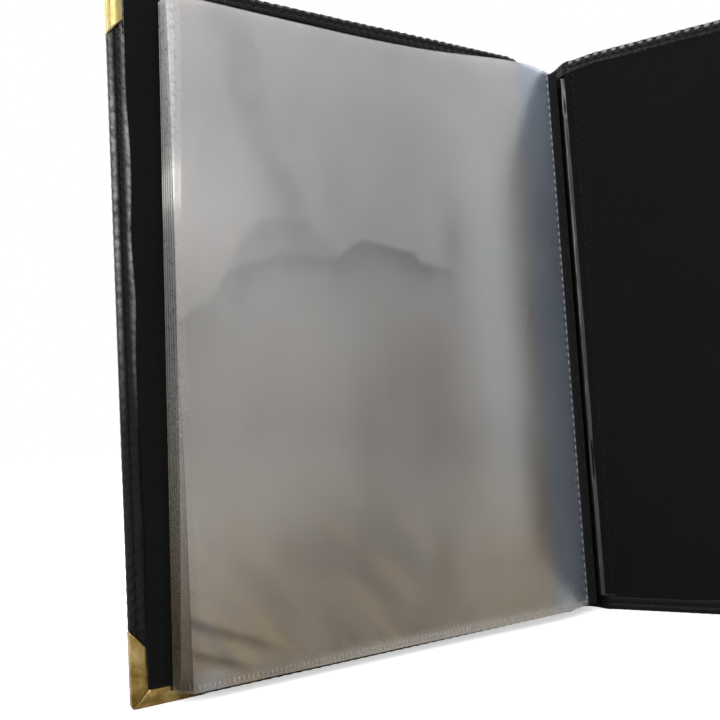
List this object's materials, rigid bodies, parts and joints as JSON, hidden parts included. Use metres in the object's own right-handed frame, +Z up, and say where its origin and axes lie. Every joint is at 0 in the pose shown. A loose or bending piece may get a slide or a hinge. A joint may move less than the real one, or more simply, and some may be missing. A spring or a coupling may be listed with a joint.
{
  "type": "menu book",
  "caption": "Menu book with two hinged leatherette covers, brass corner guards and clear welded page sleeves sewn into a soft hollow spine.",
  "frame": {"origin": "centre of the standing book's box, on the surface that it stands on", "axes": "+Z up along the spine, the opened covers face -Y, +X from the front cover to the back cover"},
  "size_m": [0.4484, 0.1392, 0.315],
  "materials": {
    "leatherette": "grained, satin black",
    "greyboard": "plain greyboard",
    "felt": "matte black felt",
    "brass": "polished, worn",
    "clear_film": "clear, glossy",
    "welded_film": "clear, ribbed by the weld",
    "vinyl": "glossy black",
    "thread": "waxed black"
  },
  "bodies": {
    "binding": {"sleeve_margin_bundle": "vinyl", "binding_thread": "thread", "hinge_strip": "vinyl", "spine_skin": "leatherette"},
    "front_cover": {"front_cover_skin": "leatherette", "front_cover_board": "greyboard", "front_cover_lining": "felt", "front_cover_top_corner": "brass", "front_cover_bottom_corner": "brass"},
    "back_cover": {"back_cover_skin": "leatherette", "back_cover_board": "greyboard", "back_cover_lining": "felt", "back_cover_top_corner": "brass", "back_cover_bottom_corner": "brass"},
    "sleeve_1": {"sleeve_1_weld": "welded_film", "sleeve_1_front_film": "clear_film", "sleeve_1_back_film": "clear_film"},
    "sleeve_2": {"sleeve_2_weld": "welded_film", "sleeve_2_front_film": "clear_film", "sleeve_2_back_film": "clear_film"},
    "sleeve_3": {"sleeve_3_weld": "welded_film", "sleeve_3_front_film": "clear_film", "sleeve_3_back_film": "clear_film"},
    "sleeve_4": {"sleeve_4_weld": "welded_film", "sleeve_4_front_film": "clear_film", "sleeve_4_back_film": "clear_film"},
    "sleeve_5": {"sleeve_5_weld": "welded_film", "sleeve_5_front_film": "clear_film", "sleeve_5_back_film": "clear_film"},
    "sleeve_6": {"sleeve_6_weld": "welded_film", "sleeve_6_front_film": "clear_film", "sleeve_6_back_film": "clear_film"}
  },
  "joints": [
    {"name": "front_cover_hinge", "type": "hinge", "parent": "binding", "child": "front_cover", "pos_m": [0, 0.05682, 0], "axis": [0, 0, -1], "range_deg": [0, 120], "deforming": ["spine_skin", "hinge_strip"]},
    {"name": "back_cover_hinge", "type": "hinge", "parent": "binding", "child": "back_cover", "pos_m": [0, 0.05682, 0], "axis": [0, 0, 1], "range_deg": [-118, 15], "deforming": ["spine_skin", "hinge_strip"]},
    {"name": "sleeve_1_hinge", "type": "hinge", "parent": "binding", "child": "sleeve_1", "pos_m": [0, 0.05682, 0], "axis": [0, 0, -1], "range_deg": [0, 60]},
    {"name": "sleeve_2_hinge", "type": "hinge", "parent": "binding", "child": "sleeve_2", "pos_m": [0, 0.05682, 0], "axis": [0, 0, -1], "range_deg": [0, 50]},
    {"name": "sleeve_3_hinge", "type": "hinge", "parent": "binding", "child": "sleeve_3", "pos_m": [0, 0.05682, 0], "axis": [0, 0, -1], "range_deg": [0, 40]},
    {"name": "sleeve_4_hinge", "type": "hinge", "parent": "binding", "child": "sleeve_4", "pos_m": [0, 0.05682, 0], "axis": [0, 0, -1], "range_deg": [0, 30]},
    {"name": "sleeve_5_hinge", "type": "hinge", "parent": "binding", "child": "sleeve_5", "pos_m": [0, 0.05682, 0], "axis": [0, 0, -1], "range_deg": [0, 20]},
    {"name": "sleeve_6_hinge", "type": "hinge", "parent": "binding", "child": "sleeve_6", "pos_m": [0, 0.05682, 0], "axis": [0, 0, -1], "range_deg": [0, 10]}
  ],
  "couplings": [
    {"joint": "sleeve_1_hinge", "follows": "front_cover_hinge", "ratio": 0.5},
    {"joint": "sleeve_2_hinge", "follows": "front_cover_hinge", "ratio": 0.41666},
    {"joint": "sleeve_3_hinge", "follows": "front_cover_hinge", "ratio": 0.33333},
    {"joint": "sleeve_4_hinge", "follows": "front_cover_hinge", "ratio": 0.25},
    {"joint": "sleeve_5_hinge", "follows": "front_cover_hinge", "ratio": 0.16666},
    {"joint": "sleeve_6_hinge", "follows": "front_cover_hinge", "ratio": 0.08333}
  ]
}
